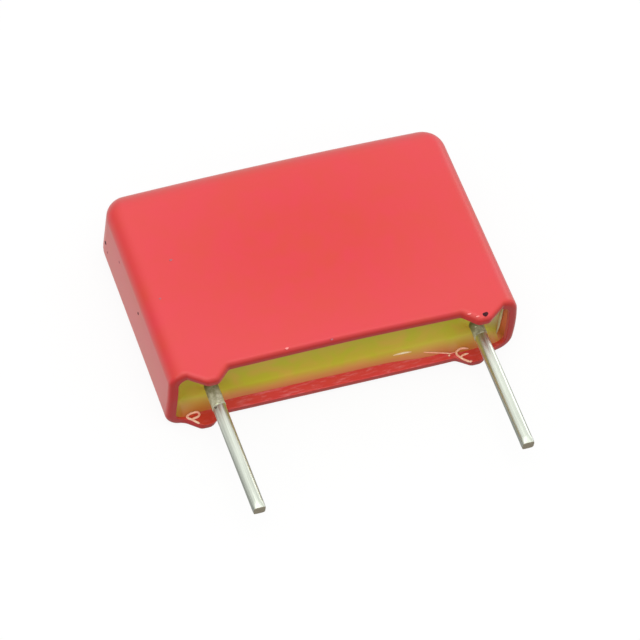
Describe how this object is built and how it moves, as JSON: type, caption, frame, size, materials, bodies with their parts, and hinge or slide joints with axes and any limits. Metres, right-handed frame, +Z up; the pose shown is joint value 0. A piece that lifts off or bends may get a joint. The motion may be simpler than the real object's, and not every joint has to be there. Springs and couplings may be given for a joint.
{
  "type": "box film capacitor",
  "caption": "Slim moulded box film capacitor in red, resin sealed at its open end, with stand-off feet at the rim and straight tinned leads.",
  "frame": {"origin": "midway between the leads, in the plane of the foot tips, at half the box's thickness", "axes": "+X from the left lead to the right one, +Y from the foot tips to the closed end so that the leads point along -Y, +Z up through the thickness as the box lies on a wide face"},
  "size_m": [0.013, 0.0135, 0.003],
  "materials": {
    "case": "moulded thermoplastic polyester, satin, red",
    "resin": "poured epoxy, smooth, olive yellow",
    "winding": "metallised film pressed into a flat roll",
    "cover_film": "plain film, smooth",
    "end_contact": "arc-sprayed zinc, rough and matt",
    "solder": "tin solder, satin",
    "lead": "tinned copper wire, drawn"
  },
  "bodies": {
    "root": {"case": "case", "resin_seal": "resin", "film_winding": "winding", "cover_film": "cover_film", "end_contact_left": "end_contact", "end_contact_right": "end_contact", "solder_joint_left": "solder", "solder_joint_right": "solder", "lead_left": "lead", "lead_right": "lead"}
  },
  "joints": []
}
